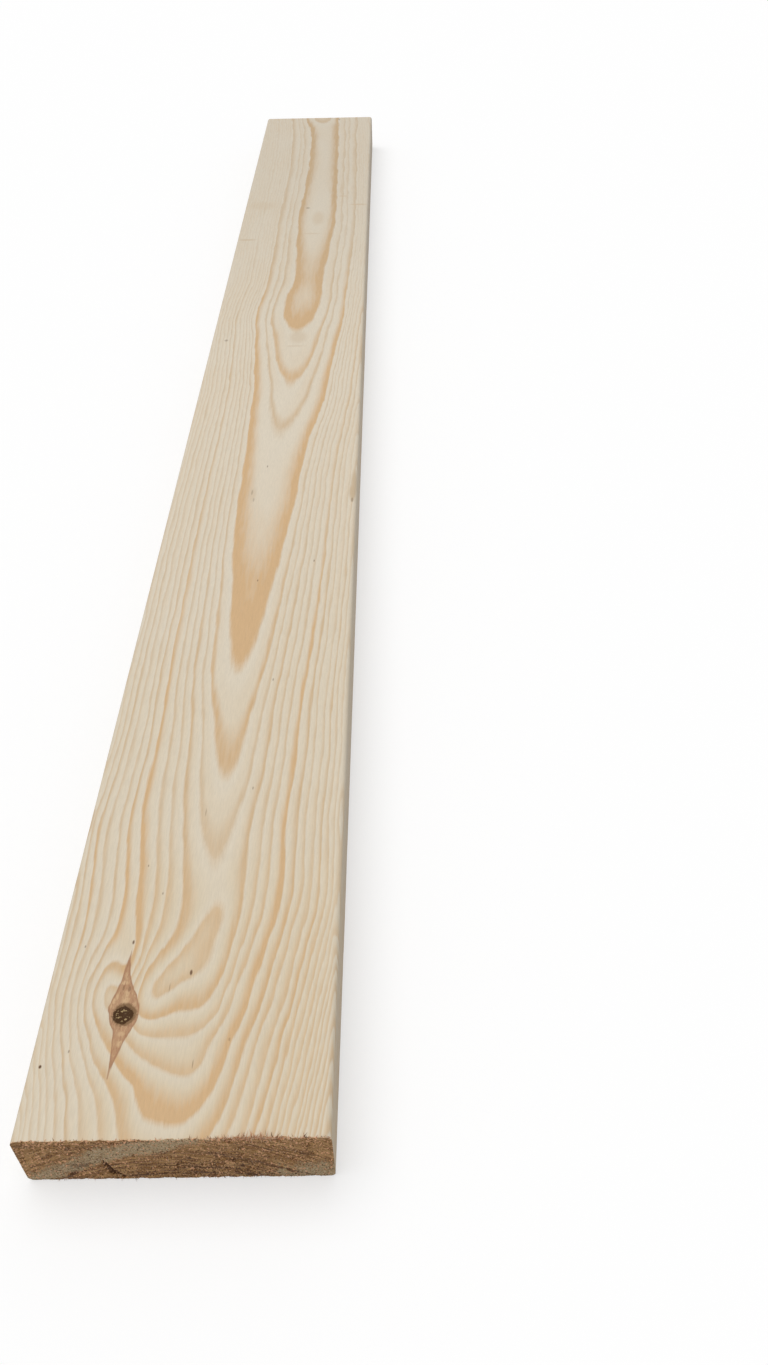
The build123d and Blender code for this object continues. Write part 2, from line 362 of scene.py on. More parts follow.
def board_arrays(shape):
    """Vertices, faces, map and end shares of the board.

    The body is the rounded section carried along the length: station by station round the section, moved out
    along the section's normal by the grain relief, and stretched so that the first station lies on the skewed
    near cut. Each end is a patch blended from the section's four sides, standing out by the saw's relief.
    """
    half, top, ease = shape.width / 2, shape.thickness, shape.arris_radius
    left_low, right_low = (ease - half, ease), (half - ease, ease)
    left_high, right_high = (ease - half, top - ease), (half - ease, top - ease)
    low, low_out = eased_edge(left_low, right_low, (225, 270, 315), ease, WIDE_CELLS)
    high, high_out = eased_edge(left_high, right_high, (135, 90, 45), ease, WIDE_CELLS)
    left, left_out = eased_edge(left_low, left_high, (225, 180, 135), ease, NARROW_CELLS)
    right, right_out = eased_edge(right_low, right_high, (-45, 0, 45), ease, NARROW_CELLS)
    wide, narrow = len(low) - 1, len(left) - 1
    loop = np.concatenate([low[:-1], right[:-1], high[:0:-1], left[:0:-1]])
    loop_out = np.concatenate([low_out[:-1], right_out[:-1], high_out[:0:-1], left_out[:0:-1]])
    around = len(loop)

    stations = spread(STATIONS, STATION_STEPS) * MM
    along = len(stations)
    x = np.broadcast_to(loop[:, 0], (along, around))
    z = np.broadcast_to(loop[:, 1], (along, around))
    near = shape.near_end + shape.near_skew * x / shape.width
    reach = stations[:, None] / stations[-1]
    y = near + reach * (shape.far_end - near)
    run = np.cumsum(np.hypot(*np.diff(loop, axis=0, append=loop[:1]).T))
    run = np.concatenate([[0.0], run])

    notch = tear_depth(x[0] / MM, z[0] / MM, run[:-1] / MM) * shape.tear_depth
    y = y + notch * np.clip(1 - stations[:, None] / (TEAR_RUN * shape.tear_depth), 0, 1)
    figure = wood_fields(shape, x, y, z)
    relief = shape.grain_relief * np.minimum(latewood(figure["ring"], figure["reach"]) * figure["late"], 1)
    relief = relief - shape.knot_recess * smooth_step(*KNOT_EDGE, figure["core"])
    body = np.stack([x + relief * loop_out[:, 0], y, z + relief * loop_out[:, 1]], -1)

    u = ((high[:, 0] - high[0, 0]) / (high[-1, 0] - high[0, 0]))[None, :, None]
    v = ((left[:, 1] - left[0, 1]) / (left[-1, 1] - left[0, 1]))[:, None, None]
    sides = (1 - v) * low[None] + v * high[None] + (1 - u) * left[:, None] + u * right[:, None]
    corners = (1 - u) * ((1 - v) * low[0] + v * high[0]) + u * ((1 - v) * low[-1] + v * high[-1])
    patch = sides - corners
    patch_x, patch_z = patch[1:-1, 1:-1, 0].ravel(), patch[1:-1, 1:-1, 1].ravel()
    near = shape.near_end + shape.near_skew * patch_x / shape.width
    far = np.full_like(near, shape.far_end)
    near_number = ring_number(patch_x / MM, 0.0, (top - patch_z) / MM)
    far_number = ring_number(patch_x / MM, STATIONS[-1], (top - patch_z) / MM)
    near = near - shape.saw_relief * saw_relief(patch_x / MM, patch_z / MM, near_number, NEAR_SAW_SEED)
    crack = smooth_step(*CRACK_EDGE, end_fields(patch_x, near, patch_z)["crack"])
    near = near + CRACK_DEPTH * MM * crack
    far_relief = saw_relief(patch_x / MM, patch_z / MM, far_number, FAR_SAW_SEED)
    far = far + FAR_SAW_SHARE * shape.saw_relief * far_relief
    ends = [np.stack([patch_x, end_y, patch_z], 1) for end_y in (near, far)]
    vertices = np.concatenate([body.reshape(-1, 3), *ends])

    row, column = np.meshgrid(np.arange(along - 1), np.arange(around), indexing="ij")
    after = (column + 1) % around
    quads = [np.stack([row * around + column, (row + 1) * around + column,
                       (row + 1) * around + after, row * around + after], -1).reshape(-1, 4)]
    turn_u = stations / stations[-1]
    turn_v = run / run[-1] * BODY_MAP_SHARE
    quad_u = np.stack([turn_u[row], turn_u[row + 1], turn_u[row + 1], turn_u[row]], -1)
    quad_v = np.stack([turn_v[column], turn_v[column], turn_v[column + 1], turn_v[column + 1]], -1)
    maps = [np.stack([quad_u, quad_v], -1).reshape(-1, 2)]

    ring_index = np.zeros((narrow + 1, wide + 1), int)
    ring_index[0] = np.arange(wide + 1)
    ring_index[:, wide] = wide + np.arange(narrow + 1)
    ring_index[narrow] = 2 * wide + narrow - np.arange(wide + 1)
    ring_index[:, 0] = (around - np.arange(narrow + 1)) % around
    inner = np.arange((narrow - 1) * (wide - 1)).reshape(narrow - 1, wide - 1)
    for end in (0, 1):
        index = ring_index + end * (along - 1) * around
        index[1:-1, 1:-1] = along * around + end * inner.size + inner
        turned = [index[:-1, :-1], index[:-1, 1:], index[1:, 1:], index[1:, :-1]]
        laid = patch / (shape.width, shape.thickness) * (END_MAP_WIDTH, 1 - END_MAP_LOW)
        laid = laid + (END_MAP_WIDTH / 2 + END_MAP_STEP * end, END_MAP_LOW)
        placed = [laid[:-1, :-1], laid[:-1, 1:], laid[1:, 1:], laid[1:, :-1]]
        if end:
            turned.reverse()
            placed.reverse()
        quads.append(np.stack(turned, -1).reshape(-1, 4))
        maps.append(np.stack(placed, 2).reshape(-1, 2))
    end_share = np.zeros(len(vertices))
    end_share[:around] = 1
    end_share[(along - 1) * around:] = 1
    return vertices, quads, np.concatenate(maps), end_share


def tear_depth(x, z, run):
    """Share of the tear at each place round the near edge: two sizes of noise, deepest on the upper right."""
    rough = sum(share * lattice_noise(run / size, run * 0, seed) for size, share, seed in TEAR_NOISES)
    middle, wide = TEAR_PLACE
    heavy = TEAR_LEAST + TEAR_MORE * np.exp(-0.5 * ((x - middle) / wide) ** 2) * (z > TEAR_ABOVE)
    heavy = heavy * (1 - SIDE_CALM * smooth_step(*SIDE_ACROSS, np.abs(x)))
    return heavy * smooth_step(*TEAR_CUT, rough)


def saw_relief(x, z, number, seed):
    """Relief of a sawn end: proud latewood arcs, shallow waves, a rough nap and scattered torn pits."""
    sizes = (SAW_WAVES, SAW_NAP, SAW_PITS)
    noises = [lattice_noise(x / wide, z / high, seed + step) for step, (_, wide, high) in enumerate(sizes)]
    arcs = SAW_ARCS * (latewood(number, SAW_ARC_REACH) - SAW_ARC_LEVEL)
    waves = SAW_WAVES[0] * (noises[0] - 0.5)
    nap = SAW_NAP[0] * (noises[1] - 0.5)
    pits = SAW_PITS[0] * smooth_step(*SAW_PIT_CUT, noises[2])
    return arcs + waves + nap - pits


def end_fields(x, y, z):
    """Fields of the sawn ends at points in metres, 0 on a middle line and 1 at its edge: olive and crack.

    The far end has no crack and little of the olive.
    """
    across, height = x / MM, z / MM
    band = np.abs(height - np.interp(across, *np.array(OLIVE_BAND).T)) / OLIVE_HALF_HEIGHT
    corner_x = (across - OLIVE_CORNER_X) / OLIVE_CORNER_HALF_WIDTH
    corner = np.hypot(corner_x, (height - OLIVE_CORNER_Z) / OLIVE_CORNER_HALF_HEIGHT)
    crack_z, crack_x, half_width = np.array(CRACK).T
    crack = np.abs(across - np.interp(height, crack_z, crack_x)) / np.interp(height, crack_z, half_width)
    crack = crack + np.maximum(height - crack_z[-1], 0) + np.maximum(crack_z[0] - height, 0)
    olive = np.minimum(band, corner) + np.where(y > 0, FAR_OLIVE_LOSS, 0)
    return {"olive": olive, "crack": np.where(y > 0, NO_CRACK, np.minimum(crack, NO_CRACK))}


def wood_fields(shape, x, y, z):
    """The wood's fields at points in metres: ring number, slope, latewood strength and reach, warmth, knot.

    The latewood pales along the board, first in the outer rings, and is wider near the near end. The slope is
    the change of the ring number over one millimetre across the board.
    """
    wood_x, wood_y, depth = x / MM, (y - shape.near_end) / MM, (shape.thickness - z) / MM
    number = ring_number(wood_x, wood_y, depth)
    slope = ring_number(wood_x + HALF_RUN, wood_y, depth) - ring_number(wood_x - HALF_RUN, wood_y, depth)
    faded = FIRST_FADE * smooth_step(*FIRST_FADE_ALONG, wood_y) * smooth_step(*OUTER_RINGS, number)
    faded = faded + SECOND_FADE * smooth_step(*SECOND_FADE_ALONG, wood_y) * smooth_step(*LINE_RINGS, number)
    late = ring_value(number, RING_STRENGTHS) * (1 - faded)
    lean = LEAN_SHARE * smooth_step(*LEAN_RINGS, number) * smooth_step(*LEAN_ALONG, wood_y)
    late = late * (1 + lean * x / (shape.width / 2))
    left = smooth_step(*LEFT_ACROSS, wood_x)
    late = late * (1 + LEFT_GAIN * left * smooth_step(*LEFT_ALONG, wood_y))
    for faint_x, faint_y, across, along, loss in FAINT:
        off = ((wood_x - faint_x) / across) ** 2 + ((wood_y - faint_y) / along) ** 2
        late = late * (1 - loss * np.exp(-0.5 * off))
    wider = NEAR_SPREAD * smooth_step(*NEAR_SPREAD_ALONG, wood_y) * (1 - left)
    reach = ring_value(number, RING_REACHES) * (1 + wider)
    reach = np.minimum(reach, WIDEST_REACH)
    core, halo, lens = knot_fields(wood_x, wood_y, depth)
    warm = smooth_step(*WARM_ALONG, wood_y) * smooth_step(*WARM_LEFT, wood_x)
    warm = np.maximum(warm, AFTER_SHARE * smooth_step(*AFTER_ALONG, wood_y))
    tail = TAIL_SHARE * smooth_step(*TAIL_ALONG, wood_y) * smooth_step(*TAIL_ACROSS, wood_x)
    warm = np.maximum(warm, tail)
    warm = warm * (1 - WARM_RIGHT_LOSS * smooth_step(*WARM_RIGHT, wood_x))
    knot = {"core": core, "halo": halo, "lens": lens}
    return {"ring": number, "slope": slope, "late": late, "reach": reach, "warm": warm, **knot}


def fibre_arrays(shape):
    """Vertices, faces and tones of the torn fibres at the near end.

    Each fibre is a square section carried along a bent line: its root, plus its direction times the length
    run, plus a bend that grows with the square of the run, with a half width that shrinks to a point at the
    tip. Splinters and a fringe stand along the upper edge, thickest on the right. A nap covers the face, and
    a thinner fringe stands along the lower edge.
    """
    rng = np.random.default_rng(FIBRE_SEED)
    counts = (shape.splinters, shape.fringe_fibres, shape.nap_fibres, shape.lower_fibres)
    splinters, fringe, nap, lower = counts
    upper, count = splinters + fringe, sum(counts)
    half, top = shape.width / 2 / MM, shape.thickness / MM

    def drawn(ranges):
        return [rng.uniform(*limits, number) for limits, number in zip(ranges, counts)]

    torn = rng.normal(*TORN_PLACE, upper)
    even = rng.uniform(UPPER_MARGIN - half, half - UPPER_MARGIN, upper)
    upper_x = np.where(rng.random(upper) < TORN_SHARE, torn, even)
    upper_x = np.clip(upper_x, UPPER_MARGIN - half, half - UPPER_MARGIN)
    middle, wide = TORN_PLACE
    strong = TORN_LEAST + TORN_MORE * np.exp(-0.5 * ((upper_x - middle) / wide) ** 2)
    nap_x = rng.uniform(NAP_MARGIN - half, half - NAP_MARGIN, nap)
    x = np.concatenate([upper_x, nap_x, rng.uniform(LOWER_MARGIN - half, half - LOWER_MARGIN, lower)])
    upper_z = [top - np.abs(rng.normal(*sink, number)) for sink, number in zip(UPPER_SINKS, counts)]
    nap_z = rng.uniform(NAP_ABOVE, top - NAP_BELOW, nap)
    z = np.concatenate([*upper_z, nap_z, rng.uniform(*LOWER_HEIGHTS, lower)])
    length = np.concatenate(drawn(FIBRE_LENGTHS))
    length[:upper] *= strong
    width = np.concatenate(drawn(FIBRE_HALF_WIDTHS))
    lift = [*drawn(UPPER_LIFTS), rng.normal(0, NAP_LIFT, nap), rng.uniform(*LOWER_LIFT, lower)]
    out = [*drawn(UPPER_OUTS), np.ones(nap + lower)]
    tones = [rng.random(number) ** power for power, number in zip(TONE_POWERS, counts)]
    tones = np.concatenate([*tones, rng.random(nap + lower)])
    direction = np.stack([rng.normal(*SIDEWAYS, count), -np.concatenate(out), np.concatenate(lift)], 1)
    direction /= np.linalg.norm(direction, axis=1)[:, None]
    near = shape.near_end / MM + shape.near_skew / shape.width * x
    root = np.stack([x, near + ROOT_SINK, z], 1)
    bend = rng.normal(0, FIBRE_BEND, (count, 3)) * length[:, None]
    side = np.cross(direction, rng.normal(0, 1, (count, 3)))
    side /= np.linalg.norm(side, axis=1)[:, None]
    other = np.cross(direction, side)
    run = np.array([0.0, 0.5, 1.0])[:, None, None]
    spine = root + direction * length[:, None] * run + bend * run ** 2
    square = np.array([(1, 0), (0, 1), (-1, 0), (0, -1)], float)
    ring = np.stack([c * side + s * other for c, s in square])
    thick = (width[:, None] * np.array(FIBRE_TAPER))[:, :, None, None]
    sides = spine[:2].transpose(1, 0, 2)[:, :, None] + thick * ring.transpose(1, 0, 2)[:, None]
    vertices = np.concatenate([sides.reshape(count, -1, 3), spine[2][:, None]], 1)
    each = vertices.shape[1]
    first = np.arange(count)[:, None, None] * each
    quads = np.array([(0, 1, 5, 4), (1, 2, 6, 5), (2, 3, 7, 6), (3, 0, 4, 7), (3, 2, 1, 0)])
    points = np.array([(4, 5, 8), (5, 6, 8), (6, 7, 8), (7, 4, 8)])
    faces = [(first + quads).reshape(-1, 4), (first + points).reshape(-1, 3)]
    return vertices.reshape(-1, 3) * MM, faces, np.repeat(tones, each)


class Wiring:
    """Adds shader nodes to one material or world, linking sockets and setting plain values alike."""

    def __init__(self, owner):
        owner.use_nodes = True
        self.tree = owner.node_tree
        self.tree.nodes.clear()

    def node(self, kind, inputs=(), **settings):
        made = self.tree.nodes.new(kind)
        for name, value in settings.items():
            setattr(made, name, value)
        for name, value in dict(inputs).items():
            self.put(made.inputs[name], value)
        return made

    def put(self, socket, value):
        if isinstance(value, bpy.types.NodeSocket):
            self.tree.links.new(value, socket)
        elif socket.type == "RGBA" and len(value) == 3:
            socket.default_value = (*value, 1)
        else:
            socket.default_value = value

    def math(self, operation, first, second=0.0, third=0.0):
        return self.node("ShaderNodeMath", {0: first, 1: second, 2: third}, operation=operation).outputs[0]

    def times(self, first, second):
        return self.math("MULTIPLY", first, second)

    def scaled(self, value, factor, start):
        """Value times factor, plus start."""
        return self.math("MULTIPLY_ADD", value, factor, start)

    def larger(self, first, second):
        return self.math("MAXIMUM", first, second)

    def ease(self, value, low, high, start=0.0, stop=1.0):
        inputs = {"Value": value, "From Min": low, "From Max": high, "To Min": start, "To Max": stop}
        return self.node("ShaderNodeMapRange", inputs, interpolation_type="SMOOTHSTEP").outputs[0]

    def mix(self, share, first, second, blend="MIX"):
        # The colour sockets have the same names as those for numbers and vectors, and come after them
        made = self.node("ShaderNodeMix", data_type="RGBA", blend_type=blend)
        for socket, value in ((0, share), (6, first), (7, second)):
            self.put(made.inputs[socket], value)
        return made.outputs[2]

    def stretch(self, vector, scale):
        return self.node("ShaderNodeMapping", {"Vector": vector, "Scale": scale}).outputs[0]

    def noise(self, vector, scale, detail=2.0, roughness=0.5):
        inputs = {"Vector": vector, "Scale": scale, "Detail": detail, "Roughness": roughness}
        return self.node("ShaderNodeTexNoise", inputs).outputs[0]

    def attribute(self, name):
        return self.node("ShaderNodeAttribute", attribute_name=name).outputs["Fac"]


def distance(wires, place, middle, halves, tilt=0.0):
    """Distance of a place from a middle, counted in half sizes along three axes that are tilted about Y."""
    inputs = {"Vector": place, "Location": middle, "Rotation": (0, tilt, 0), "Scale": halves}
    off = wires.node("ShaderNodeMapping", inputs, vector_type="TEXTURE").outputs[0]
    return wires.node("ShaderNodeVectorMath", {0: off}, operation="LENGTH").outputs["Value"]


def spots(wires, place, shape, table):
    """Strongest of a table of soft spots on the upper face: each fades out round its half sizes."""
    strongest = 0.0
    for x, y, half_x, half_y, darkness in table:
        middle = (x * MM, shape.near_end + y * MM, shape.thickness)
        far = distance(wires, place, middle, (half_x * MM, half_y * MM, SPOT_DEPTH * MM))
        strongest = wires.larger(strongest, wires.ease(far, *SPOT_EDGE, 0.0, darkness))
    return strongest


def strokes(wires, place, shape, ragged):
    """Strongest of the dark strokes on the sawn near end: each fades out raggedly round its half sizes."""
    strongest = 0.0
    for x, z, half_x, half_z, tilt, darkness in STROKES:
        middle, halves = (x * MM, shape.near_end, z * MM), (half_x * MM, END_REACH, half_z * MM)
        far = wires.math("ADD", distance(wires, place, middle, halves, math.radians(tilt)), ragged)
        strongest = wires.larger(strongest, wires.ease(far, *STROKE_EDGE, 0.0, darkness))
    return strongest


def latewood_share(wires, phase):
    """Share of latewood at a place in its ring: a rise to the peak, and a fall into the next ring."""
    rise = wires.ease(phase, wires.math("SUBTRACT", PEAK, wires.attribute("reach")), PEAK)
    rise = wires.times(rise, wires.ease(phase, PEAK, FALL_END, 1.0, 0.0))
    return wires.larger(rise, wires.ease(wires.math("ADD", phase, 1.0), PEAK, FALL_END, 1.0, 0.0))


def ring_colour(wires, finish, place, phase, late, streak, far):
    """Colour of the rings: cool then warm earlywood, and latewood that is more orange where stronger."""
    share = latewood_share(wires, phase)
    zone = wires.attribute("warm")
    patchy = wires.ease(streak, 0.3, 0.7, 0.84, 1.08)
    dark = wires.times(wires.times(share, late), patchy)
    dark = wires.times(dark, wires.scaled(zone, 0.35, 1.0))
    dark = wires.math("MINIMUM", dark, 1.0)
    cloud = wires.noise(wires.stretch(place, SOFT_GRAIN), 28, 2, 0.5)
    warm = wires.times(wires.ease(phase, 0.15, 0.5), wires.ease(cloud, 0.30, 0.62))
    early = wires.mix(warm, finish.earlywood, finish.earlywood_warm)
    golden = wires.times(zone, wires.ease(phase, 0.05, 0.45, 0.4, 0.95))
    early = wires.mix(golden, early, finish.earlywood_near)
    orange = wires.times(wires.ease(late, 0.5, 0.95), wires.scaled(far, -0.85, 1.0))
    orange = wires.larger(orange, wires.times(zone, 0.85))
    ringed = wires.mix(orange, finish.latewood_grey, finish.latewood)
    return wires.mix(dark, early, ringed), dark, share


def knot_colour(wires, finish, wood, place, shape, ragged):
    """Colours of the knot over the wood: brown lens with dark rim and pale patches, olive halo, dark core."""
    lens, core, halo = wires.attribute("lens"), wires.attribute("core"), wires.attribute("halo")
    fibre = wires.noise(wires.stretch(place, SOFT_GRAIN), 1300, 2, 0.6)
    inside = wires.scaled(ragged, 0.7, lens)
    pale = wires.larger(spots(wires, place, shape, LENS_PATCHES), wires.ease(fibre, 0.56, 0.66, 0.0, 0.5))
    lens_colour = wires.mix(pale, finish.lens, finish.lens_pale)
    rim = wires.larger(wires.ease(inside, 1.1, 0.2, 0.0, 0.8), wires.ease(fibre, 0.44, 0.36, 0.0, 0.7))
    lens_colour = wires.mix(rim, lens_colour, finish.lens_rim)
    wood = wires.mix(wires.ease(inside, -0.3, 0.3, 0.0, 0.95), wood, lens_colour)
    crumb = wires.math("SUBTRACT", wires.noise(place, 800, 3, 0.6), 0.5)
    halo = wires.scaled(crumb, 0.5, halo)
    wood = wires.mix(wires.ease(halo, 1.1, 0.85, 0.0, 0.9), wood, finish.knot_halo)
    core = wires.scaled(crumb, 0.4, core)
    speck = wires.ease(wires.noise(place, 900, 2, 0.5), 0.55, 0.63, 0.0, 0.9)
    speck = wires.times(speck, wires.ease(core, 0.85, 0.55))
    knot = wires.mix(speck, finish.knot, finish.knot_pale)
    return wires.mix(wires.ease(core, 1.05, 0.9), wood, knot)


def sawn_colour(wires, finish, shape, place, number, dark):
    """Colours of a sawn end: brown layers along the rings, olive band, lines, specks, and painted shade in
    its pits and crack.
    """
    parts = wires.node("ShaderNodeSeparateXYZ", {0: place}).outputs
    drawn = {0: wires.times(parts[0], 150), 1: wires.times(number, 1.6), 2: parts[1]}
    layer = wires.noise(wires.node("ShaderNodeCombineXYZ", drawn).outputs[0], 1.0, 3, 0.6)
    drawn = {0: wires.times(parts[0], 50), 1: wires.times(number, 0.9), 2: parts[1]}
    strip = wires.noise(wires.node("ShaderNodeCombineXYZ", drawn).outputs[0], 1.0, 2, 0.5)
    squat = wires.stretch(place, END_GRAIN)
    blotch = wires.noise(place, 130, 3, 0.6)
    grit = wires.noise(squat, 1000, 2, 0.55)
    nap = wires.noise(squat, 1400, 1, 0.5)

    seam = wires.ease(strip, 0.50, 0.38)
    line = wires.times(wires.ease(dark, 0.45, 0.95), wires.ease(strip, 0.66, 0.46, 0.1, 1.0))
    colour = wires.mix(wires.ease(layer, 0.42, 0.58), finish.end_dark, finish.end_wood)
    colour = wires.mix(wires.ease(blotch, 0.48, 0.70, 0.0, 0.7), colour, finish.end_wood_warm)
    colour = wires.mix(wires.times(seam, 0.5), colour, finish.end_dark)
    olive = wires.scaled(blotch, 2.4, wires.attribute("olive"))
    olive = wires.ease(wires.scaled(grit, 2.2, olive), 3.9, 3.0, 0.0, 0.9)
    colour = wires.mix(olive, colour, finish.end_grey)
    fleck = wires.times(olive, wires.ease(nap, 0.57, 0.66, 0.0, 0.8))
    colour = wires.mix(fleck, colour, finish.end_light)
    line = wires.times(line, wires.scaled(olive, -0.7, 1.0))
    colour = wires.mix(wires.times(line, 0.9), colour, finish.end_line)

    upper = wires.ease(parts[2], 0.030, 0.037, 0.0, 0.05)
    calm = wires.larger(wires.larger(line, olive), seam)
    specks = wires.scaled(calm, -0.035, wires.math("ADD", grit, upper))
    colour = wires.mix(wires.ease(specks, 0.56, 0.63, 0.0, 0.95), colour, finish.end_pale)
    # Painted shade: dark spots stand for the shade in the torn pits, most of them in the torn stretch
    x, z, half_x, half_z = PIT_STRETCH
    torn = distance(wires, place, (x * MM, shape.near_end, z * MM), (half_x * MM, END_REACH, half_z * MM))
    torn = wires.ease(torn, 1.2, 0.3, 0.0, 0.085)
    pits = wires.scaled(layer, 0.3, wires.math("SUBTRACT", nap, torn))
    pits = wires.scaled(line, -0.04, pits)
    colour = wires.mix(wires.ease(pits, 0.55, 0.48, 0.0, 0.9), colour, finish.end_strokes_and_recess_shade)
    ragged = wires.scaled(grit, 2.4, -1.2)
    # Dark strokes, in the same colour as the painted shade of the pits
    colour = wires.mix(strokes(wires, place, shape, ragged), colour, finish.end_strokes_and_recess_shade)
    # Painted shade in the crack
    crack = wires.math("ADD", wires.attribute("crack"), ragged)
    colour = wires.mix(wires.ease(crack, 1.3, 0.7, 0.0, 0.95), colour, finish.end_strokes_and_recess_shade)
    return colour, grit


def planed_softwood(finish, shape):
    """Planed softwood: ring colours, fibres drawn out along the grain, knot, marks, sawn ends, and painted
    shade towards the far end.
    """
    material = bpy.data.materials.new("planed softwood")
    wires = Wiring(material)
    place = wires.node("ShaderNodeTexCoord").outputs["Object"]
    parts = wires.node("ShaderNodeSeparateXYZ", {0: place}).outputs
    grain = wires.stretch(place, GRAIN)
    fine = wires.noise(grain, 1800, 3, 0.6)
    streak = wires.noise(grain, 450, 2, 0.5)
    number, late, end = wires.attribute("ring"), wires.attribute("late"), wires.attribute("end")

    far = wires.ease(parts[1], -0.1, 0.55)
    waver = wires.scaled(streak, 0.08, -0.065)
    waver = wires.scaled(fine, 0.05, waver)
    sway = wires.noise(wires.stretch(place, SWAY_GRAIN), 260, 2, 0.5)
    sway = wires.times(wires.math("SUBTRACT", sway, 0.5), wires.scaled(far, 3.0, 3.0))
    waver = wires.scaled(sway, wires.attribute("slope"), waver)
    phase = wires.math("FRACT", wires.math("ADD", number, waver))
    wood, dark, share = ring_colour(wires, finish, place, phase, late, streak, far)
    tone = wires.ease(fine, 0.25, 0.75, 0.95, 1.04)
    grey = wires.node("ShaderNodeCombineXYZ", {0: tone, 1: tone, 2: tone}).outputs[0]
    wood = wires.mix(1.0, wood, grey, "MULTIPLY")
    # Painted shade: towards the far end the wood is multiplied by the far shade colour, for the light falling
    # off there
    wood = wires.mix(far, wood, wires.mix(1.0, wood, finish.far_painted_shade, "MULTIPLY"))

    ragged = wires.scaled(wires.noise(grain, 1100, 2, 0.5), 1.6, -0.8)
    wood = knot_colour(wires, finish, wood, place, shape, ragged)
    wood = wires.mix(spots(wires, place, shape, STAINS), wood, finish.stain)
    wood = wires.mix(spots(wires, place, shape, MARKS), wood, finish.mark)
    sawn, grit = sawn_colour(wires, finish, shape, place, number, dark)
    colour = wires.mix(end, wood, sawn)

    height = wires.scaled(share, 0.35, fine)
    height = wires.scaled(wires.times(end, 3.0), grit, height)
    inputs = {"Strength": BUMP_STRENGTH, "Distance": BUMP_DEPTH, "Height": height}
    bump = wires.node("ShaderNodeBump", inputs).outputs[0]
    rough = wires.ease(dark, 0.0, 1.0, finish.roughness, finish.roughness - 0.1)
    rough = wires.scaled(fine, 0.08, rough)
    inputs = {"Base Color": colour, "Roughness": rough, "Specular IOR Level": GLOSS, "Normal": bump}
    shader = wires.node("ShaderNodeBsdfPrincipled", inputs)
    wires.node("ShaderNodeOutputMaterial", {"Surface": shader.outputs[0]})
    return material


def torn_fibre(finish):
    """Torn fibres: each fibre has one tone between brown and pale, shaded along it by a little noise."""
    material = bpy.data.materials.new("torn fibre")
    wires = Wiring(material)
    place = wires.node("ShaderNodeTexCoord").outputs["Object"]
    tone = wires.scaled(wires.noise(place, 900, 2, 0.5), 0.4, wires.attribute("tone"))
    colour = wires.mix(wires.ease(tone, 0.45, 0.75), finish.fibre_dark, finish.fibre_pink)
    colour = wires.mix(wires.ease(tone, 0.9, 1.15), colour, finish.fibre_pale)
    inputs = {"Base Color": colour, "Roughness": FIBRE_ROUGHNESS, "Specular IOR Level": GLOSS}
    shader = wires.node("ShaderNodeBsdfPrincipled", inputs)
    wires.node("ShaderNodeOutputMaterial", {"Surface": shader.outputs[0]})
    return material


def seen_straight(wires):
    """1 for rays from the camera, from reflections and through glass, else 0."""
    path = wires.node("ShaderNodeLightPath")
    straight = wires.larger(path.outputs["Is Camera Ray"], path.outputs["Is Glossy Ray"])
    return wires.larger(straight, path.outputs["Is Transmission Ray"])


def pale_floor(stage):
    """Floor that shows white to the camera and keeps the shadow: half of its white is its own light."""
    material = bpy.data.materials.new("pale floor")
    wires = Wiring(material)
    own = wires.times(seen_straight(wires), 1 - stage.floor_grey)
    glow = wires.node("ShaderNodeEmission", {"Color": (1, 1, 1), "Strength": own})
    grey = wires.node("ShaderNodeBsdfDiffuse", {"Color": (stage.floor_grey,) * 3})
    both = wires.node("ShaderNodeAddShader", {0: grey.outputs[0], 1: glow.outputs[0]})
    wires.node("ShaderNodeOutputMaterial", {"Surface": both.outputs[0]})
    return material


def colour_setting(name, description, red, green, blue):
    """Property for a colour, whose default is given as a display colour."""
    default = linear(red, green, blue)
    return FloatVectorProperty(name=name, description=description, subtype="COLOR", default=default)


def length_setting(name, description, default):
    """Property for a length in metres."""
    return FloatProperty(name=name, description=description, unit="LENGTH", default=default)


def angle_setting(name, description, degrees):
    """Property for an angle, whose default is given in degrees."""
    return FloatProperty(name=name, description=description, subtype="ANGLE", default=math.radians(degrees))


class PlankShape(bpy.types.PropertyGroup):
    """Sizes of the plank and of the relief on it."""

    width: length_setting("Width", "Across the wide faces", PLANK_HIGH.x - PLANK_LOW.x)
    thickness: length_setting("Thickness", "Between the wide faces", PLANK_HIGH.z - PLANK_LOW.z)
    near_skew: length_setting(
        "Near cut skew", "How far the near cut is out of square across the width", NEAR_SKEW)
    near_end: length_setting(
        "Near end", "Place of the middle of the near cut along the length", PLANK_LOW.y + NEAR_SKEW / 2)
    far_end: length_setting("Far end", "Place of the far cut along the length", PLANK_HIGH.y)
    arris_radius: length_setting("Arris radius", "Rounding of the four long edges", 3.0 * MM)
    grain_relief: length_setting("Grain relief", "How far the latewood stands up", 0.06 * MM)
    knot_recess: length_setting("Knot recess", "How far the knot has sunk", 0.5 * MM)
    saw_relief: length_setting("Saw relief", "Roughness of the sawn near end", 0.35 * MM)
    tear_depth: length_setting("Tear depth", "Deepest notch torn in the near edge", 1.2 * MM)
    splinters: IntProperty(name="Splinters", description="Long fibres at the near upper edge", default=170)
    fringe_fibres: IntProperty(name="Fringe fibres", description="Fibres along the upper edge", default=900)
    nap_fibres: IntProperty(name="Nap fibres", description="Short fibres over the near end", default=2200)
    lower_fibres: IntProperty(name="Lower fibres", description="Fibres along the lower edge", default=160)


